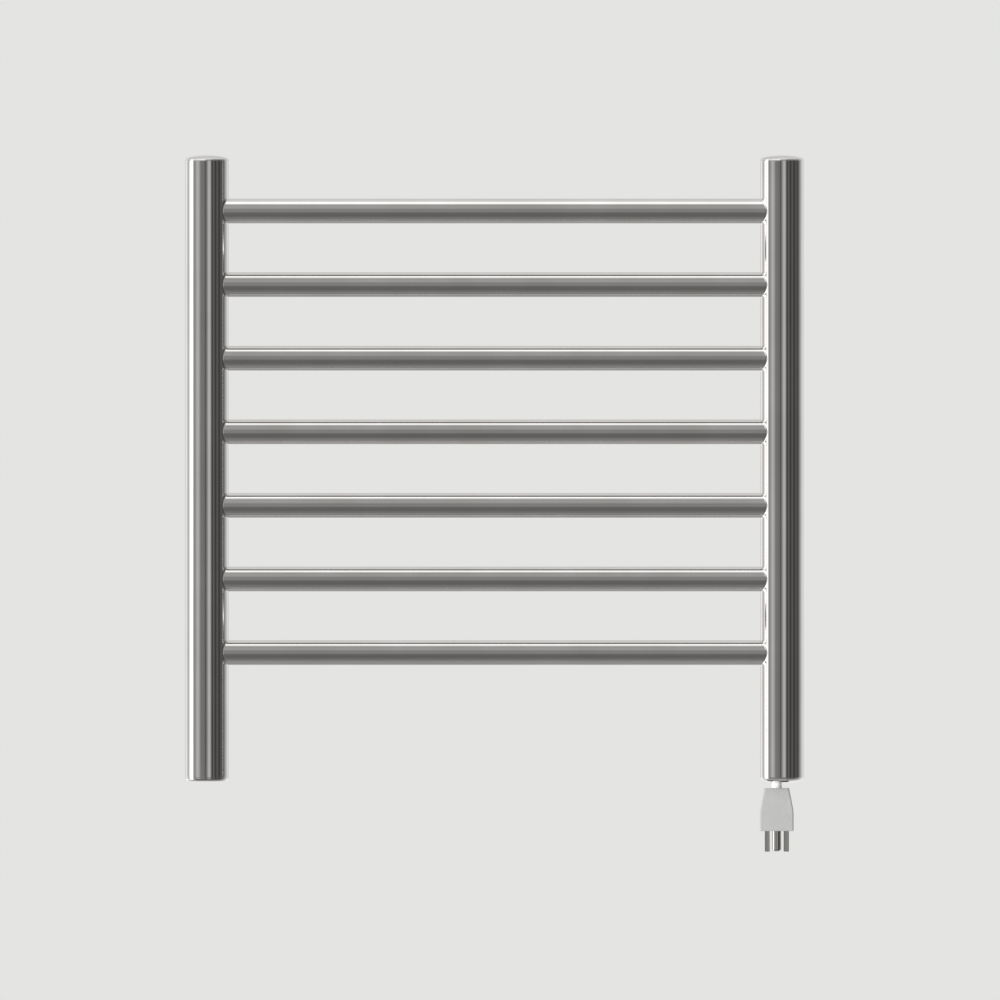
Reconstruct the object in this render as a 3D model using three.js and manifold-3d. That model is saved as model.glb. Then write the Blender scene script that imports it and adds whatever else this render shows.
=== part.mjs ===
// Electric towel warmer rack: two round posts, seven round bars, a heating cable
// threaded through all of them, and a short cord with a three-pin plug.
//
// Millimetres, +Z up. The wall is the plane y = 0 and the front looks along -Y.
// The origin is on the wall, behind the middle of the middle bar and in the centre
// of the four wall fixings.

import * as THREE from "three";
import { mergeVertices } from "three/addons/utils/BufferGeometryUtils.js";
import Module from "manifold-3d";

const wasm = await Module();
wasm.setup();

// ---- Driving dimensions ----

const GAP = 0.3; // left between pieces that touch, are welded or are pressed together

// Ladder
const POST_SPACING = 500;
const POST_DIAMETER = 38;
const POST_WALL = 1.2;
const POST_ABOVE_BARS = 44.4; // from the top bar's axis to the post's upper end
const POST_BELOW_BARS = 108.8; // from the bottom bar's axis to the post's lower end
const BAR_COUNT = 7;
const BAR_PITCH = 64;
const BAR_DIAMETER = 22;
const BAR_WALL = 1;
const BAR_FORWARD = 2.5; // the bars' axes lie this far in front of the posts'

// Post caps
const CAP_WALL = 1.2;
const CAP_SKIRT = 10;
const CAP_RIM = 0.6;
const DOME_HEIGHT = 3.8;
const FLAT_CAP_HEIGHT = 3;
const FLAT_CAP_EDGE = 1.6;

// Wall brackets
const STAND_OFF = 85; // from the wall to the posts' axes
const PLATE_DIAMETER = 30;
const PLATE_THICKNESS = 3;
const SPIGOT_DIAMETER = 14;
const SPIGOT_REACH = 38; // from the wall
const SCREW_HOLE_DIAMETER = 5.2;
const SCREW_HEAD_BORE = 9.2;
const SCREW_SEAT = 8; // from the wall to the seat of the wall screw's head
const STEM_DIAMETER = 22;
const STEM_CLEARANCE = 0.3; // round the spigot
const STEM_START = 5; // from the wall
const STEM_BORE_SPARE = 4; // past the spigot's end
const ROSE_WALL = 1.2;
const ROSE_DEPTH = 16;
const ROSE_EDGE = 2;
const ROSE_CLEARANCE = 0.4; // round the stem
const GRUB_DIAMETER = 5;
const GRUB_FROM_STEM_START = 17;
const GRUB_SOCKET_ACROSS = 2.8;
const GRUB_SOCKET_DEPTH = 2;

// Heating cable
const CABLE_DIAMETER = 5;
const CABLE_BEND = 24;
const CABLE_FROM_POST_WALL = 6.3; // side of the cable to the post's bore, on its vertical runs
const SEAL_LIFT = 0.5; // between the end seal and the bottom of the bars' bore
const CABLE_TAIL = 12; // straight length below the first bend
const CABLE_STOP = 32; // from the far post's axis to the cable's end
const SEAL_WALL = 1;
const SEAL_LENGTH = 22;
const SEAL_OVERLAP = 14;

// Cord and its fixing
const CORD_DIAMETER = 9;
const CORD_OFFSET = 4.6; // from the post's axis towards the middle of the rack
const CORD_SHOWING = 4.4; // between the bottom cap and the plug
const CORD_IN_POST = 28; // above the post's lower end
const CORD_IN_PLUG = 10;
const GROMMET_WALL = 1.2;
const GROMMET_LIP = 1.4;
const GROMMET_LIP_HEIGHT = 1.6;
const LIP_CLEARANCE = 0.5; // between the grommet's lip and the inside of the cap
const CLAMP_WALL = 3;
const CLAMP_HEIGHT = 9;
const CLAMP_SLOT = 2;
const CLAMP_EAR = 6;
const CLAMP_SCREW_DIAMETER = 3;
const CLAMP_SCREW_HEAD = 5.6;
const CLAMP_SCREW_HEAD_HEIGHT = 2;

// Wiring inside the right post
const CORE_DIAMETER = 2.2;
const CORE_SPREAD = 1.7; // from the cord's axis to each core's
const BLOCK_SIZE = new THREE.Vector3(16, 11, 14);
const BLOCK_ABOVE_CORD = 9;
const BLOCK_POLE_SPACING = 8;
const BLOCK_BORE = 3.4;
const BLOCK_SCREW_DIAMETER = 3;
const BLOCK_SCREW_LENGTH = 3;
const LIMITER_SIZE = new THREE.Vector3(7, 5, 15);
const LIMITER_ABOVE_BLOCK = 4.5;
const STUD_DIAMETER = 4;
const STUD_LENGTH = 7;
const LUG_DIAMETER = 8.4;
const LUG_THICKNESS = 0.8;
const LUG_TAIL = 7;
const LUG_TAIL_WIDTH = 3.4;
const NUT_ACROSS = 7;
const NUT_THICKNESS = 2.6;

// Plug
const PLUG_TOP_WIDTH = 21.6;
const PLUG_WIDTH = 29.4;
const PLUG_TOP_DEPTH = 17;
const PLUG_DEPTH = 25;
const PLUG_TAPER = 19.8; // height of the tapered part
const PLUG_HEIGHT = 37.4;
const PIN_LENGTH = 18; // outside the plug
const PIN_ROOT = 8; // inside the plug
const BLADE_SPACING = 16.6;
const BLADE_THICKNESS = 4.8;
const BLADE_WIDTH = 7.6;
const BLADE_TIP = 0.8;
const GROUND_PIN_DIAMETER = 7.8;
const GROUND_PIN_FORWARD = 4; // in front of the blades
const BLADES_BACK = 4; // behind the plug's axis

// Facets
const POST_SIDES = 32;
const BAR_SIDES = 24;
const SMALL_SIDES = 12;
const WIRE_SIDES = 8;
const WIRE_STEPS = 8;
const DOME_STEPS = 3;
const EDGE_STEPS = 2;
const BEND_STEPS = 3;

// ---- Sizes that follow ----

const POST_RADIUS = POST_DIAMETER / 2;
const POST_BORE = POST_RADIUS - POST_WALL;
const BAR_RADIUS = BAR_DIAMETER / 2;
const BAR_BORE = BAR_RADIUS - BAR_WALL;
const BAR_RISE = ((BAR_COUNT - 1) / 2) * BAR_PITCH; // from the middle bar to the top bar
const POST_TOP = BAR_RISE + POST_ABOVE_BARS;
const POST_BOTTOM = -BAR_RISE - POST_BELOW_BARS;
const BRACKET_RISE = BAR_RISE - BAR_PITCH / 2; // half way between the two outer bars
const STEM_BORE = SPIGOT_DIAMETER / 2 + STEM_CLEARANCE;
const CORD_RADIUS = CORD_DIAMETER / 2;
const CORD_HOLE = CORD_RADIUS + GAP;
const DOME_TOTAL = CAP_RIM + DOME_HEIGHT;

// ---- Finishes ----

const POLISHED_STEEL = { color: 0xc6c4c1, metalness: 1, roughness: 0.12 };
const SATIN_STEEL = { color: 0xa9a8a6, metalness: 1, roughness: 0.4 };
const PLATED_BRASS = { color: 0xb9b7b2, metalness: 1, roughness: 0.25 };
const BRASS = { color: 0xc2a45a, metalness: 1, roughness: 0.35 };
const PLUG_PLASTIC = { color: 0xbfbfbf, metalness: 0, roughness: 0.6 };
const CORD_PLASTIC = { color: 0xefefed, metalness: 0, roughness: 0.45 };
const BLACK_RUBBER = { color: 0x232323, metalness: 0, roughness: 0.8 };
const NYLON = { color: 0xdad8cf, metalness: 0, roughness: 0.5 };
const PORCELAIN = { color: 0xe9e6dd, metalness: 0, roughness: 0.3 };
const SILICONE_RED = { color: 0x8e2f26, metalness: 0, roughness: 0.7 };
const BROWN = { color: 0x5b3a24, metalness: 0, roughness: 0.5 };
const BLUE = { color: 0x2d5fa3, metalness: 0, roughness: 0.5 };
const GREEN = { color: 0x4f8a3a, metalness: 0, roughness: 0.5 };

// ---- Shapes ----

// A shape turned about Z from [radius, height] points, with the material on the left of their path.
function turned(profile, sides = SMALL_SIDES) {
  const points = profile.map(([radius, height]) => new THREE.Vector2(radius, height));
  return new THREE.LatheGeometry(points, sides).rotateX(Math.PI / 2);
}

function rod(radius, bottom, top, sides = SMALL_SIDES) {
  return turned([[0, bottom], [radius, bottom], [radius, top], [0, top]], sides);
}

function ring(inner, outer, bottom, top, sides = SMALL_SIDES) {
  const profile = [[inner, bottom], [outer, bottom], [outer, top], [inner, top], [inner, bottom]];
  return turned(profile, sides);
}

// A box with its centre at the given place.
function block(width, depth, height, x = 0, y = 0, z = 0) {
  return new THREE.BoxGeometry(width, depth, height).translate(x, y, z);
}

// The same profile upside down, its points in the order that keeps its faces pointing out.
function upsideDown(profile) {
  return profile.map(([radius, height]) => [radius, -height]).reverse();
}

// Points of a quarter ellipse from (radius, base) up to the axis side.
function quarter(radius, rise, base, centre = 0, steps = DOME_STEPS) {
  const points = [];
  for (let step = 0; step <= steps; step++) {
    const angle = ((Math.PI / 2) * step) / steps;
    const across = step === steps ? 0 : radius * Math.cos(angle);
    points.push([centre + across, base + rise * Math.sin(angle)]);
  }
  return points;
}

function circle(radius, sides) {
  const points = [];
  for (let side = 0; side < sides; side++) {
    const angle = (2 * Math.PI * side) / sides;
    points.push(new THREE.Vector2(radius * Math.cos(angle), radius * Math.sin(angle)));
  }
  return new THREE.Shape(points);
}

// An outline in X and Z, extruded along Y over the given depth and centred on it.
function prism(outline, depth) {
  const shape = new THREE.Shape(outline.map(([x, z]) => new THREE.Vector2(x, z)));
  const geometry = new THREE.ExtrudeGeometry(shape, { depth, bevelEnabled: false });
  return geometry.translate(0, 0, -depth / 2).rotateX(Math.PI / 2);
}

// A wire through hand-chosen points, with flat ends.
function wire(points) {
  const path = new THREE.CatmullRomCurve3(points.map((point) => new THREE.Vector3(...point)));
  const options = { steps: WIRE_STEPS, extrudePath: path, bevelEnabled: false };
  return new THREE.ExtrudeGeometry(circle(CORE_DIAMETER / 2, WIRE_SIDES), options);
}

// A path that has one step at each of its stations, so that a straight run takes a single step.
class StationPath extends THREE.Curve {
  constructor(stations) {
    super();
    this.stations = stations;
  }

  station(u) {
    return Math.round(u * (this.stations.length - 1));
  }

  getPointAt(u, target = new THREE.Vector3()) {
    return target.copy(this.stations[this.station(u)]);
  }

  getTangentAt(u, target = new THREE.Vector3()) {
    const here = this.station(u);
    const last = this.stations.length - 1;
    target.set(0, 0, 0);
    if (here > 0) target.add(this.direction(here - 1));
    if (here < last) target.add(this.direction(here));
    return target.normalize();
  }

  direction(from) {
    return this.stations[from + 1].clone().sub(this.stations[from]).normalize();
  }
}

// ---- Solids that are cut and joined ----

function solid(geometry) {
  const bare = geometry.clone();
  bare.deleteAttribute("normal");
  bare.deleteAttribute("uv");
  const merged = mergeVertices(bare, 1e-4);
  return new wasm.Manifold(
    new wasm.Mesh({
      numProp: 3,
      vertProperties: merged.attributes.position.array,
      triVerts: new Uint32Array(merged.index.array),
    }),
  );
}

function geometryOf(made) {
  const mesh = made.getMesh();
  const geometry = new THREE.BufferGeometry();
  geometry.setAttribute("position", new THREE.BufferAttribute(mesh.vertProperties, 3));
  geometry.setIndex(new THREE.BufferAttribute(mesh.triVerts, 1));
  geometry.computeVertexNormals();
  return geometry;
}

// The first geometry with the others cut out of it.
function cut(geometry, ...tools) {
  let made = solid(geometry);
  for (const tool of tools) made = made.subtract(solid(tool));
  return geometryOf(made);
}

// ---- Assembly ----

const rack = new THREE.Group();
const leftSide = new THREE.Group();
const rightSide = new THREE.Group();
leftSide.position.set(-POST_SPACING / 2, -STAND_OFF, 0);
rightSide.position.set(POST_SPACING / 2, -STAND_OFF, 0);
rack.add(leftSide, rightSide);

function add(parent, name, geometry, finish, x = 0, y = 0, z = 0) {
  const mesh = new THREE.Mesh(geometry, new THREE.MeshStandardMaterial(finish));
  mesh.name = name;
  mesh.position.set(x, y, z);
  parent.add(mesh);
}

function barHeight(number) {
  return BAR_RISE - (number - 1) * BAR_PITCH;
}

// A post is a tube with a round opening under each bar for the heating cable.
function addPost(side, name, inward) {
  const openings = [];
  for (let number = 1; number <= BAR_COUNT; number++) {
    const reach = inward * POST_DIAMETER;
    const opening = rod(BAR_BORE, Math.min(0, reach), Math.max(0, reach), BAR_SIDES);
    opening.rotateY(Math.PI / 2).translate(0, -BAR_FORWARD, barHeight(number));
    openings.push(opening);
  }
  const tube = ring(POST_BORE, POST_RADIUS, POST_BOTTOM, POST_TOP, POST_SIDES);
  add(side, name, cut(tube, ...openings), POLISHED_STEEL);
}

// A bar is a tube whose ends are coped to the posts.
function addBar(number) {
  const tube = ring(BAR_BORE, BAR_RADIUS, -POST_SPACING / 2, POST_SPACING / 2, BAR_SIDES);
  tube.rotateY(Math.PI / 2);
  const copes = [-1, 1].map((end) => {
    const post = rod(POST_RADIUS + GAP, -POST_RADIUS, POST_RADIUS, POST_SIDES);
    return post.translate((end * POST_SPACING) / 2, BAR_FORWARD, 0);
  });
  const y = -STAND_OFF - BAR_FORWARD;
  add(rack, `bar_${number}`, cut(tube, ...copes), POLISHED_STEEL, 0, y, barHeight(number));
}

// The hollow under a domed cover, from the inner side of its skirt to the axis.
function domeHollow() {
  return quarter(POST_BORE - GAP - CAP_WALL, DOME_HEIGHT - CAP_WALL, 0);
}

// The height of an outline at a radius, along its straight runs from the rim to the axis.
function heightAt(outline, radius) {
  const inner = Math.max(1, outline.findIndex((point) => point[0] <= radius));
  const [outerRadius, outerHeight] = outline[inner - 1];
  const [innerRadius, innerHeight] = outline[inner];
  const share = (outerRadius - radius) / (outerRadius - innerRadius);
  return outerHeight + share * (innerHeight - outerHeight);
}

// A cap is a cover with a skirt that is pressed into the post. Its seat is at height 0.
function capProfile(cover) {
  const skirt = POST_BORE - GAP;
  return [
    ...domeHollow().reverse(),
    [skirt - CAP_WALL, -CAP_SKIRT],
    [skirt, -CAP_SKIRT],
    [skirt, GAP],
    [POST_RADIUS, GAP],
    ...cover,
  ];
}

function domedCap() {
  return capProfile(quarter(POST_RADIUS, DOME_HEIGHT, CAP_RIM));
}

// The flat cap's hollow stays shallow, so that it keeps its wall.
function flatCap() {
  const skirt = POST_BORE - GAP;
  const rise = FLAT_CAP_HEIGHT - CAP_WALL;
  const edge = FLAT_CAP_HEIGHT - FLAT_CAP_EDGE;
  const corner = quarter(FLAT_CAP_EDGE, FLAT_CAP_EDGE, edge, POST_RADIUS - FLAT_CAP_EDGE, EDGE_STEPS);
  return [
    [0, rise],
    [skirt - CAP_WALL, rise],
    [skirt - CAP_WALL, -CAP_SKIRT],
    [skirt, -CAP_SKIRT],
    [skirt, GAP],
    [POST_RADIUS, GAP],
    ...corner,
    [0, FLAT_CAP_HEIGHT],
  ];
}

function addCaps() {
  add(leftSide, "top_cap_left", turned(domedCap(), POST_SIDES), POLISHED_STEEL, 0, 0, POST_TOP);
  add(rightSide, "top_cap_right", turned(domedCap(), POST_SIDES), POLISHED_STEEL, 0, 0, POST_TOP);
  const plain = turned(upsideDown(flatCap()), POST_SIDES);
  add(leftSide, "bottom_cap_left", plain, POLISHED_STEEL, 0, 0, POST_BOTTOM);
  const hole = rod(CORD_HOLE + GROMMET_WALL + GAP, -POST_DIAMETER, POST_DIAMETER);
  const holed = cut(turned(upsideDown(domedCap()), POST_SIDES), hole.translate(-CORD_OFFSET, 0, 0));
  add(rightSide, "bottom_cap_right", holed, POLISHED_STEEL, 0, 0, POST_BOTTOM);
}

// ---- Wall brackets ----

// Turned pieces of a bracket are drawn with their height as the distance from the wall.
function outFromWall(geometry) {
  return geometry.rotateX(Math.PI / 2);
}

function wallPlate() {
  const hole = SCREW_HOLE_DIAMETER / 2;
  const headBore = SCREW_HEAD_BORE / 2;
  const profile = [
    [hole, 0],
    [PLATE_DIAMETER / 2, 0],
    [PLATE_DIAMETER / 2, PLATE_THICKNESS],
    [SPIGOT_DIAMETER / 2, PLATE_THICKNESS],
    [SPIGOT_DIAMETER / 2, SPIGOT_REACH],
    [headBore, SPIGOT_REACH],
    [headBore, SCREW_SEAT],
    [hole, SCREW_SEAT],
    [hole, 0],
  ];
  return outFromWall(turned(profile, BAR_SIDES));
}

// The stem is welded to the post and slides over the spigot.
function stem() {
  const outer = STEM_DIAMETER / 2;
  const floor = SPIGOT_REACH + STEM_BORE_SPARE;
  const profile = [
    [0, floor],
    [STEM_BORE, floor],
    [STEM_BORE, STEM_START],
    [outer, STEM_START],
    [outer, STAND_OFF],
    [0, STAND_OFF],
  ];
  const post = rod(POST_RADIUS + GAP, -POST_RADIUS, POST_RADIUS, POST_SIDES);
  post.translate(0, -STAND_OFF, 0);
  const thread = rod(GRUB_DIAMETER / 2 + GAP, -STEM_DIAMETER, 0, SMALL_SIDES);
  thread.translate(0, -STEM_START - GRUB_FROM_STEM_START, 0);
  return cut(outFromWall(turned(profile, BAR_SIDES)), post, thread);
}

function rose() {
  const inner = PLATE_DIAMETER / 2 + GAP;
  const outer = inner + ROSE_WALL;
  const hole = STEM_DIAMETER / 2 + ROSE_CLEARANCE;
  const profile = [
    [inner, GAP],
    [outer, GAP],
    ...quarter(ROSE_EDGE, ROSE_EDGE, ROSE_DEPTH - ROSE_EDGE, outer - ROSE_EDGE, EDGE_STEPS),
    [hole, ROSE_DEPTH],
    [hole, ROSE_DEPTH - ROSE_WALL],
    [inner - ROSE_EDGE, ROSE_DEPTH - ROSE_WALL],
    [inner, ROSE_DEPTH - ROSE_WALL - ROSE_EDGE],
    [inner, GAP],
  ];
  return outFromWall(turned(profile, BAR_SIDES));
}

// The grub screw fills the stem's wall and has a hexagon socket in its lower end.
function grubScrew() {
  const screw = rod(GRUB_DIAMETER / 2, -STEM_DIAMETER / 2, -STEM_BORE);
  const bottom = -STEM_DIAMETER / 2;
  const acrossCorners = GRUB_SOCKET_ACROSS / Math.cos(Math.PI / 6);
  const socket = rod(acrossCorners / 2, bottom - GAP, bottom + GRUB_SOCKET_DEPTH, 6);
  return cut(screw, socket);
}

function addBracket(column, row) {
  const place = `${row > 0 ? "top" : "bottom"}_${column < 0 ? "left" : "right"}`;
  const bracket = new THREE.Group();
  bracket.position.set((column * POST_SPACING) / 2, 0, row * BRACKET_RISE);
  add(bracket, `wall_plate_${place}`, wallPlate(), SATIN_STEEL);
  add(bracket, `rose_${place}`, rose(), POLISHED_STEEL);
  add(bracket, `stem_${place}`, stem(), POLISHED_STEEL);
  const y = -STEM_START - GRUB_FROM_STEM_START;
  add(bracket, `grub_screw_${place}`, grubScrew(), SATIN_STEEL, 0, y, 0);
  rack.add(bracket);
}

// ---- Heating cable ----

const CABLE_RADIUS = CABLE_DIAMETER / 2;
const CABLE_RISER = POST_BORE - CABLE_FROM_POST_WALL - CABLE_RADIUS; // from the post's axis
const SEAL_RADIUS = CABLE_RADIUS + GAP + SEAL_WALL;
const CABLE_DROP = BAR_BORE - SEAL_RADIUS - SEAL_LIFT; // below the bars' axes

// A quarter bend in X and Z about a centre, from one angle to the next.
function bend(centreX, centreZ, fromAngle, turn) {
  const stations = [];
  for (let step = 0; step <= BEND_STEPS; step++) {
    const angle = fromAngle + (turn * step) / BEND_STEPS;
    const x = centreX + CABLE_BEND * Math.cos(angle);
    const z = centreZ + CABLE_BEND * Math.sin(angle);
    stations.push(new THREE.Vector3(x, 0, z));
  }
  return stations;
}

// The cable runs up through every bar in turn, from the right post's foot to the top bar's far end.
function cableStations() {
  const riserX = POST_SPACING / 2 + CABLE_RISER;
  const bendX = riserX - CABLE_BEND;
  const heights = [];
  for (let number = BAR_COUNT; number >= 1; number--) heights.push(barHeight(number) - CABLE_DROP);
  const quarterTurn = Math.PI / 2;
  const stations = [new THREE.Vector3(riserX, 0, heights[0] - CABLE_BEND - CABLE_TAIL)];
  heights.forEach((height, index) => {
    const side = index % 2 === 0 ? 1 : -1;
    const outside = side > 0 ? 0 : Math.PI;
    // Up and round into this bar on one side.
    stations.push(...bend(side * bendX, height - CABLE_BEND, outside, side * quarterTurn));
    if (index === heights.length - 1) return;
    // Out of its far end and upwards on the other side.
    const farStart = -quarterTurn;
    stations.push(...bend(-side * bendX, height + CABLE_BEND, farStart, -side * quarterTurn));
  });
  const lastSide = heights.length % 2 === 0 ? 1 : -1;
  const endX = lastSide * (POST_SPACING / 2 - CABLE_STOP);
  stations.push(new THREE.Vector3(endX, 0, heights[heights.length - 1]));
  return { stations, endX, endZ: heights[heights.length - 1], endSide: lastSide };
}

const cable = cableStations();
const CABLE_START = cable.stations[0].z;

function addHeatingCable() {
  const path = new StationPath(cable.stations);
  const options = { steps: cable.stations.length - 1, extrudePath: path, bevelEnabled: false };
  const geometry = new THREE.ExtrudeGeometry(circle(CABLE_RADIUS, WIRE_SIDES), options);
  const y = -STAND_OFF - BAR_FORWARD;
  add(rack, "heating_cable", geometry, SILICONE_RED, 0, y, 0);
  const bore = CABLE_RADIUS + GAP;
  const profile = [
    [0, SEAL_OVERLAP],
    [bore, SEAL_OVERLAP],
    [bore, 0],
    [SEAL_RADIUS, 0],
    [SEAL_RADIUS, SEAL_LENGTH - SEAL_WALL],
    [bore, SEAL_LENGTH],
    [0, SEAL_LENGTH],
  ];
  const seal = turned(profile).rotateY((cable.endSide * Math.PI) / 2);
  const x = cable.endX - cable.endSide * (SEAL_OVERLAP - GAP);
  add(rack, "cable_end_seal", seal, BLACK_RUBBER, x, y, cable.endZ);
}

// ---- Cord, its fixing and the wiring in the foot of the right post ----

const CORD_TOP = POST_BOTTOM + CORD_IN_POST;
const PLUG_TOP = POST_BOTTOM - DOME_TOTAL - CORD_SHOWING;
const CORD_BOTTOM = PLUG_TOP - CORD_IN_PLUG + GAP;
const BLOCK_BOTTOM = CORD_TOP + BLOCK_ABOVE_CORD;
const BLOCK_TOP = BLOCK_BOTTOM + BLOCK_SIZE.z;

function addCord() {
  const cord = rod(CORD_RADIUS, CORD_BOTTOM, CORD_TOP);
  add(rightSide, "power_cord", cord, CORD_PLASTIC, -CORD_OFFSET);
  const neck = CORD_HOLE + GROMMET_WALL;
  const lipEdge = neck + GROMMET_LIP;
  const seat = LIP_CLEARANCE - heightAt(domeHollow(), CORD_OFFSET + lipEdge);
  const profile = [
    [CORD_HOLE, -DOME_TOTAL + CAP_RIM],
    [neck, -DOME_TOTAL + CAP_RIM],
    [neck, seat],
    [lipEdge, seat],
    [lipEdge, seat + GROMMET_LIP_HEIGHT],
    [CORD_HOLE, seat + GROMMET_LIP_HEIGHT],
    [CORD_HOLE, -DOME_TOTAL + CAP_RIM],
  ];
  add(rightSide, "cord_grommet", turned(profile), BLACK_RUBBER, -CORD_OFFSET, 0, POST_BOTTOM);
  addClamp(POST_BOTTOM + seat + GROMMET_LIP_HEIGHT + CAP_WALL);
}

// A split collar round the cord, drawn together by a screw through its two ears.
function addClamp(bottom) {
  const outer = CORD_HOLE + CLAMP_WALL;
  const ears = 2 * CLAMP_WALL + CLAMP_SLOT;
  const collar = solid(rod(outer, 0, CLAMP_HEIGHT));
  const earX = outer + CLAMP_EAR / 2 - CLAMP_WALL / 2;
  const ear = solid(block(CLAMP_EAR + CLAMP_WALL, ears, CLAMP_HEIGHT, earX, 0, CLAMP_HEIGHT / 2));
  const opening = rod(CORD_HOLE, -GAP, CLAMP_HEIGHT + GAP);
  const slotLength = outer + CLAMP_EAR + CLAMP_WALL;
  const slot = block(slotLength, CLAMP_SLOT, 2 * CLAMP_HEIGHT, slotLength / 2, 0, CLAMP_HEIGHT / 2);
  const screwX = outer + CLAMP_EAR / 2;
  const screwHole = rod(CLAMP_SCREW_DIAMETER / 2 + GAP, -ears, ears);
  screwHole.rotateX(Math.PI / 2).translate(screwX, 0, CLAMP_HEIGHT / 2);
  const clamp = cut(geometryOf(collar.add(ear)), opening, slot, screwHole);
  add(rightSide, "cord_clamp", clamp, NYLON, -CORD_OFFSET, 0, bottom);
  const shank = CLAMP_SCREW_DIAMETER / 2;
  const head = CLAMP_SCREW_HEAD / 2;
  const top = ears / 2 + GAP;
  const profile = [
    [0, -ears / 2 - GAP],
    [shank, -ears / 2 - GAP],
    [shank, top],
    [head, top],
    [head, top + CLAMP_SCREW_HEAD_HEIGHT],
    [0, top + CLAMP_SCREW_HEAD_HEIGHT],
  ];
  const screw = turned(profile).rotateX(Math.PI / 2);
  const height = bottom + CLAMP_HEIGHT / 2;
  add(rightSide, "cord_clamp_screw", screw, SATIN_STEEL, screwX - CORD_OFFSET, 0, height);
}

// A two-pole block: each pole has an upright bore for the wires and a screw from the front.
function addTerminalBlock() {
  const middle = BLOCK_BOTTOM + BLOCK_SIZE.z / 2;
  const tools = [];
  const poles = { line: -BLOCK_POLE_SPACING / 2, neutral: BLOCK_POLE_SPACING / 2 };
  for (const x of Object.values(poles)) {
    tools.push(rod(BLOCK_BORE / 2, -BLOCK_SIZE.z, BLOCK_SIZE.z).translate(x, 0, 0));
    const screwHole = rod(BLOCK_SCREW_DIAMETER / 2 + GAP, 0, BLOCK_SIZE.y);
    tools.push(screwHole.rotateX(Math.PI / 2).translate(x, 0, 0));
  }
  const body = block(BLOCK_SIZE.x, BLOCK_SIZE.y, BLOCK_SIZE.z);
  add(rightSide, "terminal_block", cut(body, ...tools), PORCELAIN, 0, 0, middle);
  for (const [pole, x] of Object.entries(poles)) {
    const screw = rod(BLOCK_SCREW_DIAMETER / 2, 0, BLOCK_SCREW_LENGTH).rotateX(Math.PI / 2);
    const y = -BLOCK_SIZE.y / 2 + BLOCK_SCREW_LENGTH;
    add(rightSide, `terminal_screw_${pole}`, screw, BRASS, x, y, middle);
  }
}

// The ring lug sits on a stud welded inside the back of the post, under a nut.
function addEarthing() {
  const wall = POST_BORE - 2 * GAP;
  const height = BLOCK_BOTTOM + BLOCK_SIZE.z / 2;
  const stud = rod(STUD_DIAMETER / 2, 0, STUD_LENGTH).rotateX(Math.PI / 2);
  add(rightSide, "earth_stud", stud, SATIN_STEEL, 0, wall, height);
  const lugY = wall - STUD_LENGTH + NUT_THICKNESS + 2 * GAP + LUG_THICKNESS;
  const eye = solid(rod(LUG_DIAMETER / 2, 0, LUG_THICKNESS).rotateX(Math.PI / 2));
  const tailZ = -LUG_TAIL / 2 - STUD_DIAMETER / 2;
  const tail = solid(block(LUG_TAIL_WIDTH, LUG_THICKNESS, LUG_TAIL, 0, -LUG_THICKNESS / 2, tailZ));
  const hole = rod(STUD_DIAMETER / 2 + GAP, -LUG_THICKNESS, 2 * LUG_THICKNESS);
  const lug = cut(geometryOf(eye.add(tail)), hole.rotateX(Math.PI / 2));
  add(rightSide, "earth_lug", lug, PLATED_BRASS, 0, lugY, height);
  const nutRadius = NUT_ACROSS / 2 / Math.cos(Math.PI / 6);
  const nutBody = rod(nutRadius, 0, NUT_THICKNESS, 6).rotateX(Math.PI / 2);
  const nutHole = rod(STUD_DIAMETER / 2 + GAP, -NUT_THICKNESS, 2 * NUT_THICKNESS);
  const nut = cut(nutBody, nutHole.rotateX(Math.PI / 2));
  add(rightSide, "earth_nut", nut, SATIN_STEEL, 0, lugY - LUG_THICKNESS - GAP, height);
  return { y: lugY - LUG_THICKNESS / 2, z: height + tailZ - LUG_TAIL / 2 - GAP };
}

// A small bimetal cut-out beside the start of the heating cable, both its wires at its foot.
function addLimiter() {
  const bottom = BLOCK_TOP + LIMITER_ABOVE_BLOCK;
  const x = -BLOCK_POLE_SPACING / 2 - LIMITER_SIZE.x / 2 + CORE_DIAMETER;
  const body = block(LIMITER_SIZE.x, LIMITER_SIZE.y, LIMITER_SIZE.z, 0, 0, LIMITER_SIZE.z / 2);
  add(rightSide, "thermal_limiter", body, BLACK_RUBBER, x, 0, bottom);
  return { x, bottom };
}

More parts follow.
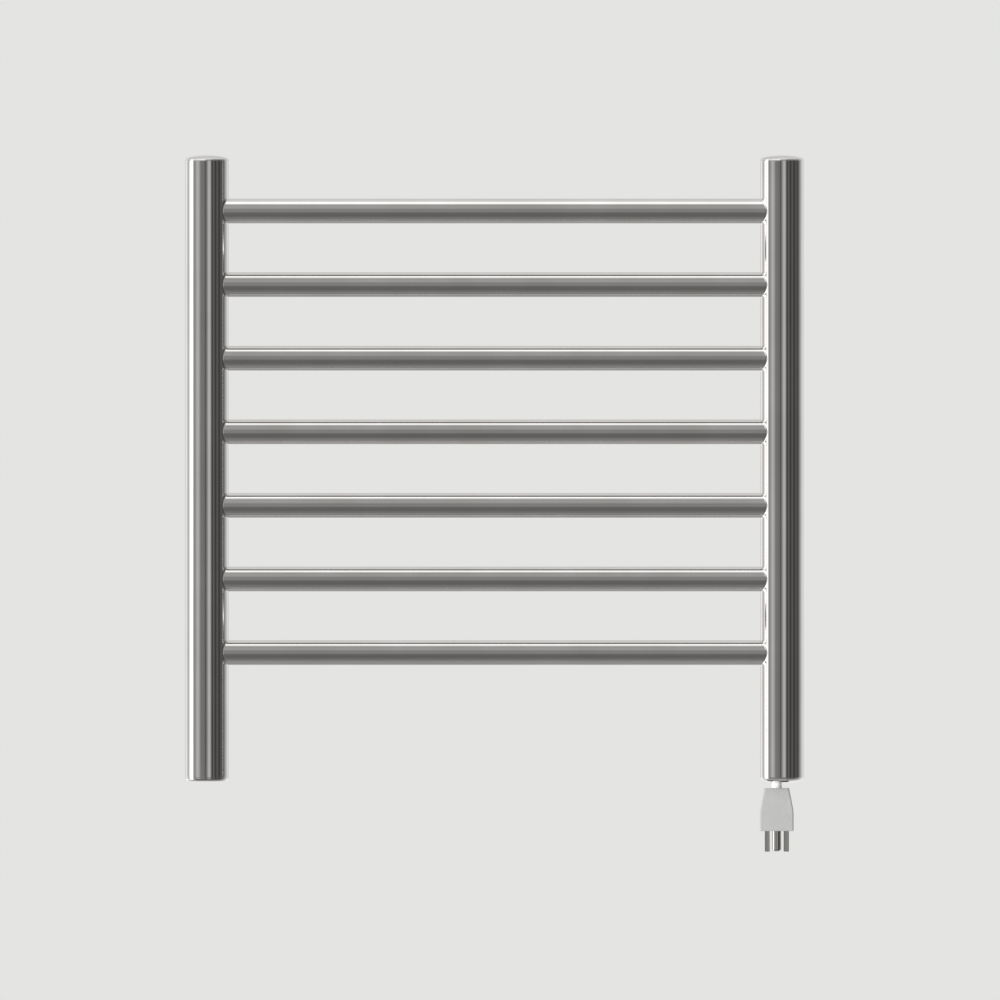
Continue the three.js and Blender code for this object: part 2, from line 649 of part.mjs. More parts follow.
// The wires are soft, so their routes are points picked between the pieces that they join.
function addWires(lug, limiter) {
  const pole = BLOCK_POLE_SPACING / 2;
  const cordX = -CORD_OFFSET;
  const start = CORD_TOP + GAP;
  const into = BLOCK_BOTTOM + BLOCK_SIZE.z / 4;
  const outOf = BLOCK_TOP - BLOCK_SIZE.z / 4;
  const cores = {
    line_core: [BROWN, [
      [cordX - CORE_SPREAD, -1, start],
      [cordX - CORE_SPREAD, -1, start + 2],
      [-pole, 0, BLOCK_BOTTOM - 2],
      [-pole, 0, into],
    ]],
    neutral_core: [BLUE, [
      [cordX + CORE_SPREAD, -1, start],
      [cordX + CORE_SPREAD, -1, start + 1.5],
      [pole, 0, BLOCK_BOTTOM - 2],
      [pole, 0, into],
    ]],
    earth_core: [GREEN, [
      [cordX, CORE_SPREAD + 0.3, start],
      [cordX, CORE_SPREAD + 0.7, start + 1.5],
      [cordX / 2, lug.y / 2 + CORE_SPREAD / 2, start + 3],
      [0, lug.y, lug.z - 2.4],
      [0, lug.y, lug.z],
    ]],
  };
  const footX = limiter.x - CORE_DIAMETER / 2 - GAP;
  const cableX = CABLE_RISER;
  const cableEnd = CABLE_START - GAP;
  const leads = {
    line_lead: [BROWN, [
      [-pole, 0, outOf],
      [-pole, 0.3, BLOCK_TOP + 0.5],
      [footX, 1, limiter.bottom - 1.8],
      [footX, 1, limiter.bottom - GAP],
    ]],
    limiter_lead: [SILICONE_RED, [
      [footX + CORE_DIAMETER + 2 * GAP, -1.2, limiter.bottom - 1],
      [footX + CORE_DIAMETER + 1, -2.2, limiter.bottom - 2],
      [1.5, -4.8, limiter.bottom - 1.8],
      [cableX - CORE_DIAMETER / 2 - GAP / 2, -BAR_FORWARD - 1, cableEnd - 4],
      [cableX - CORE_DIAMETER / 2 - GAP / 2, -BAR_FORWARD, cableEnd],
    ]],
    neutral_lead: [BLUE, [
      [pole, 0, outOf],
      [pole, 0, BLOCK_TOP + 1],
      [cableX + CORE_DIAMETER / 2 + GAP / 2, -BAR_FORWARD, cableEnd - 3],
      [cableX + CORE_DIAMETER / 2 + GAP / 2, -BAR_FORWARD, cableEnd],
    ]],
  };
  for (const [name, [finish, points]] of Object.entries({ ...cores, ...leads })) {
    add(rightSide, name, wire(points), finish);
  }
}

// ---- Plug ----

// The outline of one side of the plug, narrow at the cord and straight over its lower part.
function plugOutline(topWidth, width) {
  return [
    [-topWidth / 2, 0],
    [-width / 2, -PLUG_TAPER],
    [-width / 2, -PLUG_HEIGHT],
    [width / 2, -PLUG_HEIGHT],
    [width / 2, -PLUG_TAPER],
    [topWidth / 2, 0],
  ];
}

function blade(clearance) {
  const half = BLADE_THICKNESS / 2 + clearance;
  const tip = -PLUG_HEIGHT - PIN_LENGTH;
  const outline = [
    [-half, -PLUG_HEIGHT + PIN_ROOT + clearance],
    [-half, tip + BLADE_TIP],
    [-half + BLADE_TIP, tip],
    [half - BLADE_TIP, tip],
    [half, tip + BLADE_TIP],
    [half, -PLUG_HEIGHT + PIN_ROOT + clearance],
  ];
  return prism(outline, BLADE_WIDTH + 2 * clearance);
}

function groundPin(clearance) {
  const radius = GROUND_PIN_DIAMETER / 2 + clearance;
  const tip = PLUG_HEIGHT + PIN_LENGTH;
  const nose = quarter(radius, radius / 2, tip - radius / 2);
  return turned(upsideDown([[0, PLUG_HEIGHT - PIN_ROOT - clearance],
    [radius, PLUG_HEIGHT - PIN_ROOT - clearance], ...nose]));
}

function addPlug() {
  const plug = new THREE.Group();
  plug.position.set(-CORD_OFFSET, 0, PLUG_TOP);
  const front = solid(prism(plugOutline(PLUG_TOP_WIDTH, PLUG_WIDTH), PLUG_DEPTH));
  const side = prism(plugOutline(PLUG_TOP_DEPTH, PLUG_DEPTH), PLUG_WIDTH).rotateZ(Math.PI / 2);
  const shell = geometryOf(front.intersect(solid(side)));
  const cordBore = rod(CORD_HOLE, -CORD_IN_PLUG, GAP);
  const tools = [cordBore, groundPin(GAP).translate(0, -GROUND_PIN_FORWARD, 0)];
  const blades = { line: BLADE_SPACING / 2, neutral: -BLADE_SPACING / 2 };
  for (const x of Object.values(blades)) tools.push(blade(GAP).translate(x, BLADES_BACK, 0));
  add(plug, "plug_body", cut(shell, ...tools), PLUG_PLASTIC);
  for (const [pole, x] of Object.entries(blades)) {
    add(plug, `plug_blade_${pole}`, blade(0), PLATED_BRASS, x, BLADES_BACK, 0);
  }
  add(plug, "plug_ground_pin", groundPin(0), PLATED_BRASS, 0, -GROUND_PIN_FORWARD, 0);
  rightSide.add(plug);
}

// ---- The object ----

addPost(leftSide, "post_left", 1);
addPost(rightSide, "post_right", -1);
for (let number = 1; number <= BAR_COUNT; number++) addBar(number);
addCaps();
for (const column of [-1, 1]) {
  for (const row of [1, -1]) addBracket(column, row);
}
addHeatingCable();
addCord();
addTerminalBlock();
addWires(addEarthing(), addLimiter());
addPlug();

export default rack;
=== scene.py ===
# Electric towel warmer rack: its visible pieces and finishes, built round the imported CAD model.
# Lengths are metres. The wall is the plane y = 0, the front looks along -Y and +Z is up.

import math

import bpy
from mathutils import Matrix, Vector


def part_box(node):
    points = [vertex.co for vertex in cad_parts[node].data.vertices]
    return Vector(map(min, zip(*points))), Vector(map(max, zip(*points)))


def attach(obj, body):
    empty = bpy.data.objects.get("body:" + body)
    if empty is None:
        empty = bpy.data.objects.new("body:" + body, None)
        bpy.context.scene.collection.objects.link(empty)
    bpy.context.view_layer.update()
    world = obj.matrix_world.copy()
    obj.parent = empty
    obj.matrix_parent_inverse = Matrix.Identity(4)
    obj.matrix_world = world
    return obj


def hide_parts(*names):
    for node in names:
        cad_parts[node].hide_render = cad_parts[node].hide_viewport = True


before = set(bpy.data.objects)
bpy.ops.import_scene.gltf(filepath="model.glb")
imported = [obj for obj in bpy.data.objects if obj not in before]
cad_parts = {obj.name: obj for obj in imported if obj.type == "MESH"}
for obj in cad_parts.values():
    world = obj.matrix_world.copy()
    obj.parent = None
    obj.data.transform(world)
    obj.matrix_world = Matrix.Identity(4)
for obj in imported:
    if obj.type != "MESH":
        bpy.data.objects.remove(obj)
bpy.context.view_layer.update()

MM = 0.001
QUARTER_TURN = math.pi / 2


# ---- Sizes read from the CAD ----

def size_of(node):
    low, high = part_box(node)
    return high - low


def middle_of(node):
    low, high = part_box(node)
    return (high + low) / 2


SIDES = ("left", "right")
CORNERS = ("top_left", "top_right", "bottom_left", "bottom_right")
BARS = [f"bar_{number}" for number in range(1, 8)]

POST_RADIUS = size_of("post_right").x / 2
POST_AXIS = middle_of("post_right")
POST_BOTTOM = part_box("post_right")[0].z
POST_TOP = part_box("post_right")[1].z
POST_WALL = 1.2 * MM
POST_BORE = POST_RADIUS - POST_WALL

BAR_RADIUS = size_of("bar_4").z / 2
BAR_AXIS_Y = middle_of("bar_4").y
BAR_WALL = 1 * MM
BAR_BORE = BAR_RADIUS - BAR_WALL

STEM_RADIUS = size_of("stem_top_left").x / 2
STEM_START = -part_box("stem_top_left")[1].y  # distance from the wall
STEM_BORE = 7.3 * MM
STEM_BORE_DEPTH = 42 * MM  # from the wall
POST_BACK = -POST_AXIS.y - POST_RADIUS  # distance from the wall

CORD_AXIS = middle_of("power_cord")
CORD_RADIUS = size_of("power_cord").x / 2


# ---- Camera ----

PICTURE_WIDTH = 0.8696  # of what the camera takes in
PICTURE_CENTRE = Vector((0.00478, 0, -0.0591))
CAMERA_DISTANCE = 3
FARTHEST_SEEN = 100


def add_camera():
    """Square to the front, with no perspective."""
    bpy.ops.object.camera_add(location=PICTURE_CENTRE - Vector((0, CAMERA_DISTANCE, 0)))
    camera = bpy.context.object
    camera.rotation_euler = (QUARTER_TURN, 0, 0)
    camera.data.type = "ORTHO"
    camera.data.ortho_scale = PICTURE_WIDTH
    camera.data.clip_end = FARTHEST_SEEN
    bpy.context.scene.camera = camera


# ---- Nodes and colours ----

def light_of(share):
    """An sRGB share of white as linear light. Above 1 it is brighter than white."""
    return share / 12.92 if share < 0.04045 else ((share + 0.055) / 1.055) ** 2.4


def linear(hex_colour):
    """An sRGB hex value as a linear colour."""
    return (*[light_of((hex_colour >> shift & 0xFF) / 0xFF) for shift in (16, 8, 0)], 1)


def neutral(value):
    """A linear value as a grey colour."""
    return (value, value, value, 1)


# A Mix node's two colours and its mixed colour: its other sockets have the same names.
MIX_FIRST = 6
MIX_SECOND = 7
MIX_RESULT = 2


def add_node(tree, kind, inputs=None, **settings):
    """A node with its settings. An input is a value, or the output that feeds it."""
    node = tree.nodes.new(kind)
    for name, value in settings.items():
        setattr(node, name, value)
    for name, value in (inputs or {}).items():
        if isinstance(value, bpy.types.NodeSocket):
            tree.links.new(value, node.inputs[name])
        else:
            node.inputs[name].default_value = value
    return node


def set_ramp(node, stops):
    """Gives a colour ramp its stops, from (position, linear grey or colour) pairs."""
    elements = node.color_ramp.elements
    while len(elements) < len(stops):
        elements.new(1)
    for element, (position, colour) in zip(elements, stops):
        element.position = position
        element.color = colour if isinstance(colour, tuple) else neutral(colour)


def grey(level):
    """The linear value of a grey: 255 is white, and a panel above that is brighter than white."""
    return light_of(level / 0xFF)


# ---- Studio ----

# Light and dark panels that stand round the rack, by bearing in degrees from the front,
# left below 0 and right above it: the grey that polished steel shows of each.
PANELS = (
    (-156, 186), (-137, 234), (-125, 178), (-114, 170), (-105, 218), (-97, 310), (-85, 310),
    (-79, 195), (-72, 114), (-50, 168), (-40, 142), (-34, 110), (-13, 101), (-7, 68),
    (3, 134), (8, 161), (13, 167), (18, 148), (24, 74), (29, 48), (34, 92), (40, 72),
    (45, 47), (57, 85), (66, 46), (76, 70), (82, 84), (89, 52), (97, 82), (110, 140),
    (137, 208), (156, 186),
)
AHEAD = 119  # the grey straight ahead, which is all there is high up and low down
PANELS_FADE = (0.1, 0.9)  # from the first of these heights to the last, as sines
FRONT_TO_BACK = 0.2  # how far each way the heights in front run into those behind, as a sine

# How much lighter or darker than straight ahead the studio is at each height in degrees:
# an overhead soft box in front of the rack, and a pale room behind it.
HEIGHTS_IN_FRONT = (
    (-90, 1.3), (-80, 1.25), (-72, 0.86), (-60, 0.81), (-50, 0.66), (-40, 0.57), (-20, 0.62),
    (-12, 0.68), (-4, 1.15), (5, 1.02), (15, 1.03), (24, 1.34), (34, 1.58), (43, 1.6),
    (53, 1.35), (62, 1.85), (70, 3.6), (78, 5.6), (90, 5.4),
)
HEIGHTS_BEHIND = (
    (-90, 1.3), (-57, 1.4), (-33, 1.6), (-12, 1.5), (0, 1), (15, 1.05), (33, 1.45),
    (57, 3.1), (80, 3), (87, 5),
)
MOST_LIFT = 6  # the ramps hold each height's lift as a share of this
ROUND = 360  # degrees of bearing
UP_AND_DOWN = 180  # degrees of height

# One more soft box hangs high on the left and catches the rims of the caps: how much of it
# there is at each bearing and at each height, in degrees, and its grey.
BOX_ACROSS = ((-100, 0), (-80, 1), (-20, 1), (0, 0))
BOX_UP = ((12, 0), (32, 1), (70, 1), (85, 0))
BOX = 250

STEEL_SHOWS = 0.66  # share of the light that polished stainless steel gives back
BACKDROP = 0xE4E4E2
LIGHT_SPREAD = 12  # degrees across, for soft shadows
FLOOR = -3.2  # far enough down to leave room for a look from below
FLOOR_SIZE = 60
FLOOR_PAINT = 0xE9E8E5


def add_world():
    """The room that the steel mirrors, and a plain pale backdrop behind the object."""
    world = bpy.data.worlds.new("soft studio")
    bpy.context.scene.world = world
    world.use_nodes = True
    tree = world.node_tree
    tree.nodes.clear()
    place = add_node(tree, "ShaderNodeTexCoord")
    split = add_node(tree, "ShaderNodeSeparateXYZ", {"Vector": place.outputs["Generated"]})
    ahead = add_node(tree, "ShaderNodeMath", {0: split.outputs["Y"], 1: -1}, operation="MULTIPLY")
    bearing = add_node(
        tree, "ShaderNodeMath", {0: split.outputs["X"], 1: ahead.outputs[0]}, operation="ARCTAN2"
    )
    height = add_node(tree, "ShaderNodeMath", {0: split.outputs["Z"]}, operation="ARCSINE")
    away = add_node(tree, "ShaderNodeMath", {0: split.outputs["Z"]}, operation="ABSOLUTE")

    def by_angle(angle, whole, stops):
        """A ramp over the whole range of an angle, from stops in degrees."""
        half = math.radians(whole / 2)
        span = {"Value": angle.outputs[0], "From Min": -half, "From Max": half}
        share = add_node(tree, "ShaderNodeMapRange", span)
        ramp = add_node(tree, "ShaderNodeValToRGB", {"Fac": share.outputs["Result"]})
        set_ramp(ramp, [(0.5 + degrees / whole, value) for degrees, value in stops])
        return ramp.outputs["Color"]

    def by_height(lifts):
        return by_angle(height, UP_AND_DOWN, [(degrees, lift / MOST_LIFT) for degrees, lift in lifts])

    def eased(source, start, end):
        """0 up to the start and 1 from the end on, with a smooth change between them."""
        span = {"Value": source.outputs[0], "From Min": start, "From Max": end}
        change = add_node(tree, "ShaderNodeMapRange", span, interpolation_type="SMOOTHSTEP")
        return change.outputs["Result"]

    panels = by_angle(bearing, ROUND, [(degrees, grey(level)) for degrees, level in PANELS])
    fading = {
        "Factor": eased(away, *PANELS_FADE),
        MIX_FIRST: panels,
        MIX_SECOND: neutral(grey(AHEAD)),
    }
    faded = add_node(tree, "ShaderNodeMix", fading, data_type="RGBA")
    lifting = {
        "Factor": eased(ahead, -FRONT_TO_BACK, FRONT_TO_BACK),
        MIX_FIRST: by_height(HEIGHTS_BEHIND),
        MIX_SECOND: by_height(HEIGHTS_IN_FRONT),
    }
    lift = add_node(tree, "ShaderNodeMix", lifting, data_type="RGBA")
    lifted = {
        "Factor": 1,
        MIX_FIRST: faded.outputs[MIX_RESULT],
        MIX_SECOND: lift.outputs[MIX_RESULT],
    }
    room = add_node(tree, "ShaderNodeMix", lifted, data_type="RGBA", blend_type="MULTIPLY")
    across = by_angle(bearing, ROUND, BOX_ACROSS)
    up = by_angle(height, UP_AND_DOWN, BOX_UP)
    box = add_node(tree, "ShaderNodeMath", {0: across, 1: up}, operation="MULTIPLY")
    boxed = {
        "Factor": box.outputs[0],
        MIX_FIRST: room.outputs[MIX_RESULT],
        MIX_SECOND: neutral(grey(BOX) / MOST_LIFT),
    }
    lit = add_node(tree, "ShaderNodeMix", boxed, data_type="RGBA")
    studio = add_node(
        tree, "ShaderNodeBackground",
        {"Color": lit.outputs[MIX_RESULT], "Strength": MOST_LIFT / STEEL_SHOWS},
    )
    backdrop = add_node(tree, "ShaderNodeBackground", {"Color": linear(BACKDROP)})
    ray = add_node(tree, "ShaderNodeLightPath")
    shown = add_node(tree, "ShaderNodeMixShader", {"Fac": ray.outputs["Is Camera Ray"]})
    tree.links.new(studio.outputs[0], shown.inputs[1])
    tree.links.new(backdrop.outputs[0], shown.inputs[2])
    add_node(tree, "ShaderNodeOutputWorld", {"Surface": shown.outputs[0]})


def add_soft_light(name, bearing, height, strength):
    """A broad even light from so many degrees round and up, for the pieces that aren't polished.

    The steel doesn't mirror it: the room has its own panels for that.
    """
    bpy.ops.object.light_add(type="SUN")
    light = bpy.context.object
    light.name = name
    light.data.angle = math.radians(LIGHT_SPREAD)
    light.data.energy = strength
    light.rotation_euler = (math.radians(90 - height), 0, math.radians(bearing))
    light.visible_glossy = False


def add_studio():
    add_world()
    add_soft_light("key light", bearing=-45, height=2, strength=2.9)
    add_soft_light("fill light", bearing=55, height=2, strength=0.6)
    bpy.ops.mesh.primitive_plane_add(size=FLOOR_SIZE, location=(0, 0, FLOOR))
    floor = bpy.context.object
    floor.name = "floor"
    floor.visible_glossy = False
    paint = bpy.data.materials.new("pale studio floor")
    paint.use_nodes = True
    shader = paint.node_tree.nodes["Principled BSDF"]
    shader.inputs["Base Color"].default_value = linear(FLOOR_PAINT)
    shader.inputs["Roughness"].default_value = 0.9
    floor.data.materials.append(paint)
    bpy.context.scene.view_settings.view_transform = "Standard"


# ---- Finishes ----

def new_material(name, colour, roughness, metallic=0.0, **more):
    """A material with its constants on the shader, and its tree, shader and coordinates."""
    material = bpy.data.materials.new(name)
    material.use_nodes = True
    tree = material.node_tree
    shader = tree.nodes["Principled BSDF"]
    shader.inputs["Base Color"].default_value = linear(colour)
    shader.inputs["Roughness"].default_value = roughness
    shader.inputs["Metallic"].default_value = metallic
    for socket, value in more.items():
        shader.inputs[socket].default_value = value
    place = add_node(tree, "ShaderNodeTexCoord")
    return material, tree, shader, place.outputs["Object"]


def grain(tree, place, cell, stretch=(1, 1, 1), detail=2.0):
    """Noise whose cells are about so long in metres, stretched by so much along X, Y and Z."""
    scale = [1 / (cell * along) for along in stretch]
    mapped = add_node(tree, "ShaderNodeMapping", {"Vector": place, "Scale": scale})
    noise = {"Vector": mapped.outputs["Vector"], "Scale": 1.0, "Detail": detail}
    return add_node(tree, "ShaderNodeTexNoise", noise).outputs["Fac"]


# Nearly all of a noise lies between these two.
NOISE_LOW = 0.3
NOISE_HIGH = 0.7


def vary(tree, shader, socket, source, low, high):
    """Moves a shader's number between low and high with the source."""
    noise = {"Value": source, "From Min": NOISE_LOW, "From Max": NOISE_HIGH}
    varied = add_node(tree, "ShaderNodeMapRange", {**noise, "To Min": low, "To Max": high})
    tree.links.new(varied.outputs["Result"], shader.inputs[socket])


def tint(tree, shader, source, dark, light):
    """Moves a shader's colour between two hex colours with the source."""
    ramp = add_node(tree, "ShaderNodeValToRGB", {"Fac": source})
    set_ramp(ramp, [(NOISE_LOW, linear(dark)), (NOISE_HIGH, linear(light))])
    tree.links.new(ramp.outputs["Color"], shader.inputs["Base Color"])


def emboss(tree, shader, source, depth):
    """Raises the surface by up to the given depth in metres where the source is light."""
    bump = add_node(tree, "ShaderNodeBump", {"Height": source, "Distance": depth})
    tree.links.new(bump.outputs["Normal"], shader.inputs["Normal"])


def polished_stainless(axis):
    """304 stainless tube, ground and buffed round its axis to a mirror.

    The reflections are nearly sharp. Buffing leaves hairlines round the tube, 0.2 mm apart on
    the real one and drawn 0.7 mm apart so that they show, and a faint haze in patches of 40 mm.
    """
    material, tree, shader, place = new_material(
        f"polished stainless steel {axis}", 0xD9D7D4, roughness=0.06, metallic=1.0
    )
    run = 60  # a hairline's length over its width
    around = [1 if name == axis else run for name in "XYZ"]
    hairlines = grain(tree, place, 0.7 * MM, stretch=around, detail=3)
    haze = grain(tree, place, 40 * MM)
    raised = add_node(tree, "ShaderNodeMath", {0: hairlines, 1: 0.5}, operation="ADD")
    both = add_node(tree, "ShaderNodeMath", {0: haze, 1: raised.outputs[0]}, operation="MULTIPLY")
    vary(tree, shader, "Roughness", both.outputs[0], 0.045, 0.085)
    tint(tree, shader, haze, 0xD6D4D1, 0xDCDAD8)
    emboss(tree, shader, hairlines, 0.0004 * MM)
    return material


def satin_stainless():
    """Turned 304 stainless, left as it comes off the lathe: dull, with a fine even grain."""
    material, tree, shader, place = new_material(
        "satin stainless steel", 0xC2C0BD, roughness=0.36, metallic=1.0
    )
    marks = grain(tree, place, 0.5 * MM, stretch=(8, 1, 8), detail=4)
    vary(tree, shader, "Roughness", marks, 0.28, 0.44)
    tint(tree, shader, marks, 0xB8B6B3, 0xCAC8C5)
    emboss(tree, shader, marks, 0.004 * MM)
    return material


def nickel_plated_brass():
    """Drawn brass with bright nickel plating: smooth and slightly warm, with faint draw lines."""
    material, tree, shader, place = new_material(
        "nickel plated brass", 0xD6D4D0, roughness=0.12, metallic=1.0
    )
    lines = grain(tree, place, 0.35 * MM, stretch=(1, 1, 30), detail=3)
    vary(tree, shader, "Roughness", lines, 0.08, 0.16)
    tint(tree, shader, lines, 0xD2D0CB, 0xDAD8D4)
    emboss(tree, shader, lines, 0.001 * MM)
    return material


def bare_brass():
    """Turned free-cutting brass: warm yellow, with tool marks 0.3 mm apart."""
    material, tree, shader, place = new_material(
        "turned brass", 0xCBAA5E, roughness=0.3, metallic=1.0
    )
    marks = grain(tree, place, 0.3 * MM, stretch=(6, 1, 6), detail=3)
    vary(tree, shader, "Roughness", marks, 0.22, 0.4)
    tint(tree, shader, marks, 0xBE9A4C, 0xD6B76E)
    emboss(tree, shader, marks, 0.003 * MM)
    return material


def moulded_pvc(name, dark, light, roughness):
    """Flexible PVC from a spark-eroded mould: matt, with a pebble grain drawn 0.6 mm across."""
    material, tree, shader, place = new_material(name, light, roughness, IOR=1.52)
    pebbles = grain(tree, place, 0.6 * MM, detail=2)
    clouds = grain(tree, place, 9 * MM, detail=3)
    tint(tree, shader, clouds, dark, light)
    vary(tree, shader, "Roughness", pebbles, roughness - 0.06, roughness + 0.06)
    emboss(tree, shader, pebbles, 0.012 * MM)
    return material


def extruded_pvc(name, dark, light, roughness=0.38):
    """PVC drawn through a die: a soft sheen, with shallow lines along its run."""
    material, tree, shader, place = new_material(name, light, roughness, IOR=1.53)
    lines = grain(tree, place, 0.5 * MM, stretch=(1, 1, 20), detail=3)
    tint(tree, shader, lines, dark, light)
    vary(tree, shader, "Roughness", lines, roughness - 0.06, roughness + 0.08)
    emboss(tree, shader, lines, 0.008 * MM)
    return material


def black_rubber():
    """Moulded EPDM rubber: nearly black and dull, with a slight grey bloom in patches of 3 mm."""
    material, tree, shader, place = new_material(
        "black EPDM rubber", 0x1E1E1E, roughness=0.78, IOR=1.5
    )
    bloom = grain(tree, place, 3 * MM, detail=4)
    tint(tree, shader, bloom, 0x171717, 0x2B2B2A)
    vary(tree, shader, "Roughness", bloom, 0.7, 0.86)
    emboss(tree, shader, grain(tree, place, 0.4 * MM), 0.01 * MM)
    return material


def phenolic():
    """Moulded phenolic resin, for the thermal limiter's case: hard, black and half glossy."""
    material, tree, shader, place = new_material(
        "black phenolic resin", 0x18181A, roughness=0.36, IOR=1.6
    )
    flecks = grain(tree, place, 0.5 * MM, detail=4)
    tint(tree, shader, flecks, 0x121214, 0x232325)
    vary(tree, shader, "Roughness", flecks, 0.3, 0.44)
    emboss(tree, shader, flecks, 0.004 * MM)
    return material


def nylon():
    """Natural nylon 6, injection moulded: milky ivory with a waxy sheen."""
    material, tree, shader, place = new_material(
        "natural nylon", 0xDCD8CC, roughness=0.42, IOR=1.53
    )
    clouds = grain(tree, place, 4 * MM, detail=3)
    tint(tree, shader, clouds, 0xD5D0C2, 0xE3E0D6)
    vary(tree, shader, "Roughness", clouds, 0.36, 0.5)
    emboss(tree, shader, grain(tree, place, 0.5 * MM), 0.006 * MM)
    return material


def porcelain():
    """Glazed electrical porcelain: creamy white under a clear glaze, with tiny iron specks."""
    material, tree, shader, place = new_material(
        "glazed porcelain", 0xECE8DC, roughness=0.3, IOR=1.5
    )
    shader.inputs["Coat Weight"].default_value = 0.6
    shader.inputs["Coat Roughness"].default_value = 0.08
    specks = grain(tree, place, 0.7 * MM, detail=5)
    ramp = add_node(tree, "ShaderNodeValToRGB", {"Fac": specks})
    # Only the deepest dips of the noise are specks.
    set_ramp(ramp, [(0.27, linear(0x9A8B74)), (0.31, linear(0xECE8DC))])
    tree.links.new(ramp.outputs["Color"], shader.inputs["Base Color"])
    vary(tree, shader, "Roughness", grain(tree, place, 2 * MM), 0.24, 0.4)
    emboss(tree, shader, grain(tree, place, 3 * MM), 0.02 * MM)
    return material


def silicone():
    """Extruded silicone rubber, iron-oxide red, as used on heating cable: matt and slightly dusty."""
    material, tree, shader, place = new_material(
        "red silicone rubber", 0x8E2F26, roughness=0.62, IOR=1.43
    )
    dust = grain(tree, place, 1.5 * MM, detail=4)
    tint(tree, shader, dust, 0x862A22, 0x9A3D33)
    vary(tree, shader, "Roughness", dust, 0.54, 0.72)
    emboss(tree, shader, grain(tree, place, 0.4 * MM), 0.008 * MM)
    return material


def green_yellow_pvc():
    """PVC for the earth core: green with yellow stripes 1.6 mm wide that run slantwise."""
    material, tree, shader, place = new_material(
        "green and yellow PVC", 0x3F8A3A, roughness=0.4, IOR=1.53
    )
    stripe = 1.6 * MM
    lean = (0, math.radians(35), 0)
    slant = add_node(tree, "ShaderNodeMapping", {"Vector": place, "Rotation": lean})
    bands = add_node(
        tree, "ShaderNodeTexWave",
        # At scale 1 the node's stripes are about 1 / tau wide.
        {"Vector": slant.outputs["Vector"], "Scale": 1 / (math.tau * stripe)},
        wave_type="BANDS", bands_direction="X",
    )
    ramp = add_node(tree, "ShaderNodeValToRGB", {"Fac": bands.outputs["Fac"]})
    set_ramp(ramp, [(0.48, linear(0x2F7A34)), (0.52, linear(0xE0C62A))])
    tree.links.new(ramp.outputs["Color"], shader.inputs["Base Color"])
    lines = grain(tree, place, 0.4 * MM)
    vary(tree, shader, "Roughness", lines, 0.34, 0.46)
    emboss(tree, shader, lines, 0.004 * MM)
    return material


# ---- Modelling ----

SPIN_STEPS = 128
EDGE_STEPS = 5
SHARP = math.radians(32)
MERGE = 0.001 * MM

AXES = {
    "X": (Vector((1, 0, 0)), Vector((0, 0, 1))),
    "Z": (Vector((0, 0, 1)), Vector((1, 0, 0))),
    "out": (Vector((0, -1, 0)), Vector((1, 0, 0))),  # away from the wall
}


def rounded(centre, radius, start, turn, rise=None, steps=EDGE_STEPS):
    """Points on an arc in an outline, from a start angle through a turn in degrees."""
    points = []
    for step in range(steps + 1):
        angle = math.radians(start + turn * step / steps)
        across = centre[0] + radius * math.cos(angle)
        points.append((max(0, across), centre[1] + (rise or radius) * math.sin(angle)))
    return points


def propped(outline, margin):
    """The outline with a point near both ends of each long run, to keep the run's shading true."""
    points = []
    for start, end in zip(outline, outline[1:]):
        points.append(start)
        run = Vector(end) - Vector(start)
        if run.length > 4 * margin:
            step = run.normalized() * margin
            points.append(tuple(Vector(start) + step))
            points.append(tuple(Vector(end) - step))
    return points + [outline[-1]]


def finish_mesh(piece):
    """Joins doubles, turns faces outwards, puts the place into the mesh and shades it."""
    bpy.ops.object.mode_set(mode="EDIT")
    bpy.ops.mesh.select_all(action="SELECT")
    bpy.ops.mesh.remove_doubles(threshold=MERGE)
    bpy.ops.mesh.normals_make_consistent(inside=False)
    bpy.ops.object.mode_set(mode="OBJECT")
    bpy.ops.object.transform_apply(location=True, rotation=True, scale=True)
    bpy.ops.object.shade_smooth_by_angle(angle=SHARP)
    return piece


def turned(name, outline, centre=(0, 0, 0), axis="Z", steps=SPIN_STEPS, margin=0.5 * MM):
    """A turned piece. Its outline of (radius, height) points is drawn out from one point and spun."""
    along, across = AXES[axis]
    points = [across * radius + along * height for radius, height in propped(outline, margin)]
    bpy.ops.object.select_all(action="DESELECT")
    bpy.ops.mesh.primitive_plane_add(size=MM, location=Vector(centre) + points[0])
    piece = bpy.context.object
    piece.name = name
    bpy.ops.object.mode_set(mode="EDIT")
    bpy.ops.mesh.select_mode(type="VERT")
    bpy.ops.mesh.merge(type="CENTER")
    for start, end in zip(points, points[1:]):
        bpy.ops.mesh.extrude_region_move(TRANSFORM_OT_translate={"value": end - start})
    bpy.ops.mesh.select_all(action="SELECT")
    bpy.ops.mesh.remove_doubles(threshold=MERGE)
    bpy.ops.mesh.spin(steps=steps, angle=math.tau, center=Vector(centre), axis=along)
    bpy.ops.object.mode_set(mode="OBJECT")
    return finish_mesh(piece)


def cut_with(piece, cutter):
    """Cuts the cutter's shape out of the piece and removes the cutter."""
    bpy.ops.object.select_all(action="DESELECT")
    piece.select_set(True)
    bpy.context.view_layer.objects.active = piece
    cut = piece.modifiers.new("cut", "BOOLEAN")
    cut.operation = "DIFFERENCE"
    cut.solver = "EXACT"
    cut.object = cutter
    bpy.ops.object.modifier_apply(modifier=cut.name)
    bpy.data.objects.remove(cutter)
    bpy.ops.object.shade_smooth_by_angle(angle=SHARP)
    return piece


def flatten_shading(piece):
    """Lets the broad faces, not the small rounds between them, set the shading."""
    shading = piece.modifiers.new("broad faces first", "WEIGHTED_NORMAL")
    shading.keep_sharp = True
    bpy.ops.object.modifier_apply(modifier=shading.name)
    return piece


def saddle(across):
    """How far a post's side falls away from its nearest line, at a distance across the post."""
    return POST_RADIUS - math.sqrt(POST_RADIUS ** 2 - across ** 2)


